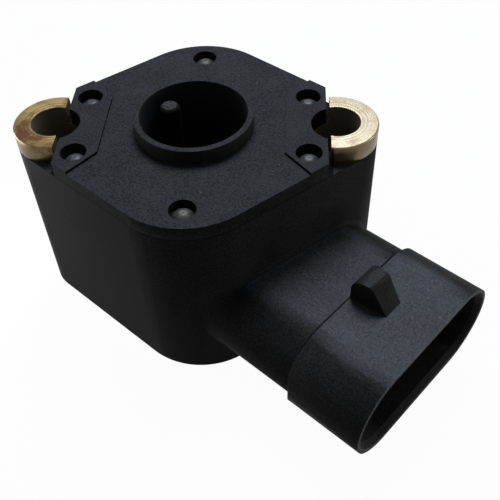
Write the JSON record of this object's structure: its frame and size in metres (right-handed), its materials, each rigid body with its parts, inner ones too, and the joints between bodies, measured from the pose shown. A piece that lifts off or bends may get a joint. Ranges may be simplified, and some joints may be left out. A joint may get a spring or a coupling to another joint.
{
  "type": "rotary position sensor",
  "caption": "Rotary position sensor: lozenge moulded body with brass mounting bushings, a collar over a sprung rotor with a drive post, and an oval plug socket with a latch lug.",
  "frame": {"origin": "on the rotor axis, level with the cover's end pads, 0.35 mm below the bushing flanges that meet the bracket", "axes": "+Z out of the mounting face along the rotor axis, +X along the socket the way its plug leaves"},
  "size_m": [0.0599, 0.0356, 0.0307],
  "materials": {
    "housing_plastic": "fine moulded grain",
    "cover_plastic": "fine moulded grain",
    "bushing_brass": "turned",
    "rotor_plastic": "smooth moulded",
    "spring_steel": "drawn wire",
    "seal_rubber": "matt",
    "board_laminate": "solder mask",
    "solder": "bright",
    "track_ink": "printed carbon",
    "wiper_alloy": "stamped",
    "terminal_tin": "tin plate"
  },
  "bodies": {
    "sensor_body": {"housing": "housing_plastic", "cover": "cover_plastic", "mount_bushing_left": "bushing_brass", "mount_bushing_right": "bushing_brass", "return_spring": "spring_steel", "cover_gasket": "seal_rubber", "circuit_board": "board_laminate", "solder_joints": "solder", "position_track": "track_ink", "idle_track": "track_ink", "terminal_a": "terminal_tin", "terminal_b": "terminal_tin", "terminal_c": "terminal_tin", "terminal_d": "terminal_tin", "terminal_e": "terminal_tin", "terminal_f": "terminal_tin"},
    "rotor_body": {"rotor": "rotor_plastic", "rotor_seal": "seal_rubber", "position_wiper": "wiper_alloy", "idle_wiper": "wiper_alloy"}
  },
  "joints": [
    {"name": "rotor_turn", "type": "hinge", "parent": "sensor_body", "child": "rotor_body", "pos_m": [0, 0, 0], "axis": [0, 0, 1], "range_deg": [0, 75], "stiffness_Nm_per_rad": 0.02, "springref_deg": -34.38, "deforming": ["return_spring"]}
  ]
}
